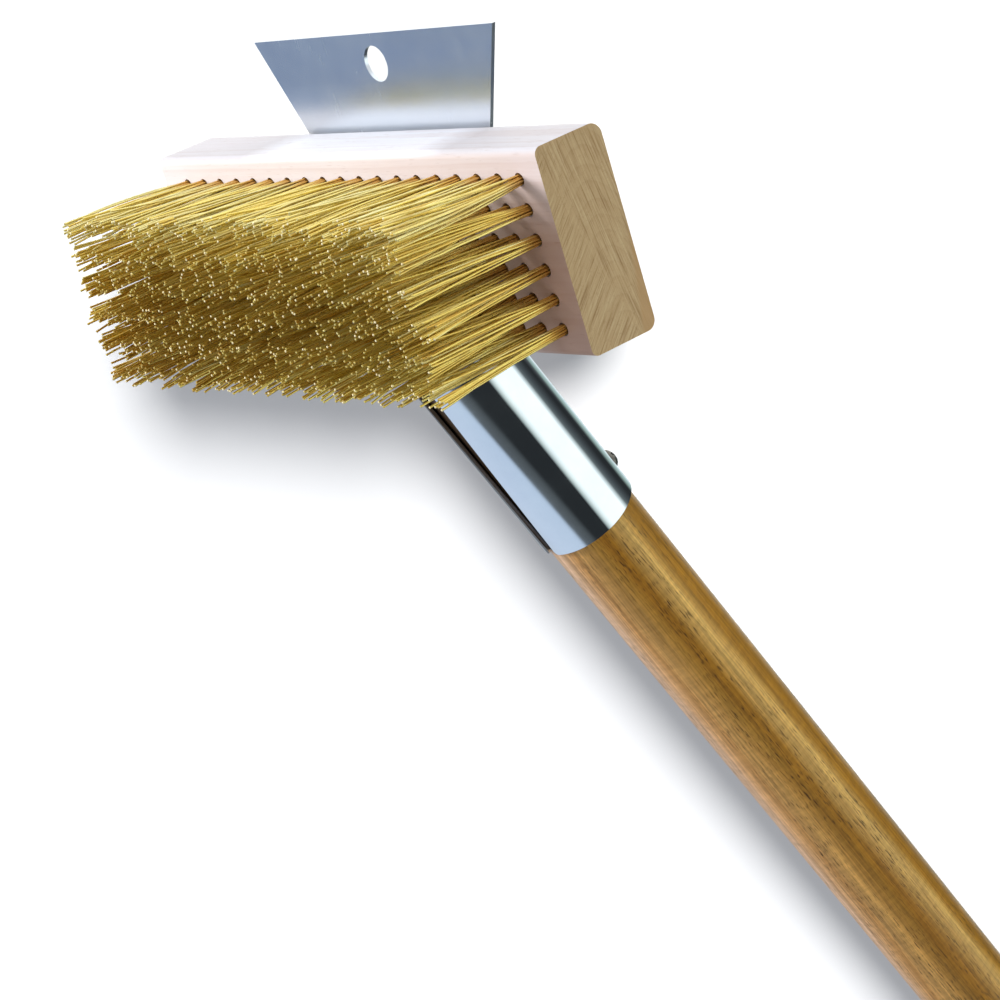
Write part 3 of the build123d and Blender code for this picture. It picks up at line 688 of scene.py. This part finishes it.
def make_surround():
    """Studio surround: soft white, with the cards that the bright socket mirrors on the handle's side."""
    world = bpy.data.worlds.new("surround")
    bpy.context.scene.world = world
    world.use_nodes = True
    nodes = Nodes(world.node_tree)
    direction = nodes.add("ShaderNodeTexCoord").outputs["Generated"]
    way = nodes.add("ShaderNodeSeparateXYZ", {"Vector": direction})
    angle = nodes.math("ARCTAN2", way.outputs["X"], way.outputs["Z"])
    place = nodes.grey(angle, 0.0, 1.0, -math.pi, math.pi)
    lean = nodes.math("MULTIPLY", nodes.math("ADD", way.outputs["Y"], CARD_LEVEL), CARD_LEAN / 360.0)
    card_place = nodes.math("ADD", place, lean, clamp=True)
    card = around_ramp(nodes, card_place, CARD_TONES)
    strip = around_ramp(nodes, place, STRIP_TONES)
    handle_side = nodes.mix(1.0, card, strip, "LIGHTEN")
    far_low = nodes.math("MULTIPLY", nodes.grey(way.outputs["Y"], 1.0, 0.0, -0.86, -0.74),
                         nodes.grey(way.outputs["Z"], 1.0, 0.0, -0.05, 0.05))
    handle_side = nodes.mix(far_low, handle_side, rgb(*FAR_LOW))
    open_side = around_ramp(nodes, place, OPEN_TONES)
    shade = nodes.mix(nodes.grey(way.outputs["Y"], 1.0, 0.0, *HANDLE_SIDE), open_side, handle_side)
    key_patch = nodes.facing(direction, Vector(KEY_WAY).normalized(), *KEY_PATCH_EDGE)
    shade = nodes.mix(key_patch, shade, rgb(*KEY_PATCH))
    background = nodes.add("ShaderNodeBackground", {"Color": shade, "Strength": 1.0})
    output = nodes.add("ShaderNodeOutputWorld")
    nodes.put(output.inputs["Surface"], background.outputs["Background"])


def make_light(name, direction, distance, size, power, colour):
    """Square soft light that looks at the head from a direction, and isn't seen or mirrored."""
    data = bpy.data.lights.new(name, "AREA")
    data.energy = power
    data.color = colour
    data.size = size
    light = bpy.data.objects.new(name, data)
    light.visible_camera = False
    light.visible_glossy = False
    way = Vector(direction).normalized()
    turn = way.to_track_quat("Z", "Y").to_matrix().to_4x4()
    light.matrix_world = Matrix.Translation(HEAD_ORIGIN + way * distance) @ turn
    bpy.context.scene.collection.objects.link(light)
    return light


def make_floor_light(floor, bracket):
    """Low soft light that reaches only the floor, for the shadow of the brush at its lower left."""
    data = bpy.data.lights.new("floor_light", "SUN")
    data.energy = FLOOR_LIGHT
    data.angle = math.radians(FLOOR_LIGHT_ANGLE)
    light = bpy.data.objects.new("floor_light", data)
    light.visible_glossy = False
    light.rotation_euler = Vector(FLOOR_LIGHT_WAY).to_track_quat("Z", "Y").to_euler()
    light.light_linking.receiver_collection = bpy.data.collections.new("floor_only")
    light.light_linking.receiver_collection.objects.link(floor)
    light.light_linking.blocker_collection = all_but("all_but_the_bracket", bracket)
    bpy.context.scene.collection.objects.link(light)


def all_but(name, piece):
    """Light linking collection that leaves out one object."""
    others = bpy.data.collections.new(name)
    others.objects.link(piece)
    others.collection_objects[0].light_linking.link_state = "EXCLUDE"
    return others


def make_lights(floor):
    """A key lamp and a weak warm lamp above for the brush, and a low one for the floor."""
    key = make_light("key", KEY_WAY, distance=1.6, size=0.6, power=28.0, colour=KEY_COLOUR)
    key.light_linking.receiver_collection = all_but("all_but_the_floor", floor)
    make_light("top", TOP_WAY, distance=2.0, size=1.8, power=3.0, colour=TOP_COLOUR)
    make_floor_light(floor, frame["nodes"]["scraper_bracket"])


# --- scene ------------------------------------------------------------------------------------


def dress_nodes():
    """Materials for the CAD nodes that stay."""
    nodes = frame["nodes"]
    set_material(nodes["brush_block"], block_wood_material())
    set_material(nodes["handle"], handle_wood_material())
    set_material(nodes["scraper_bracket"], bracket_material())
    screw = screw_material()
    set_material(nodes["block_screws"], screw)
    set_material(nodes["handle_screw"], screw)
    set_material(nodes["tuft_anchors"], anchor_material())


def main():
    bpy.context.scene.view_settings.view_transform = "Standard"
    make_camera()
    floor = make_floor()
    make_surround()
    make_lights(floor)
    dress_nodes()
    make_wires(brass_material())


main()
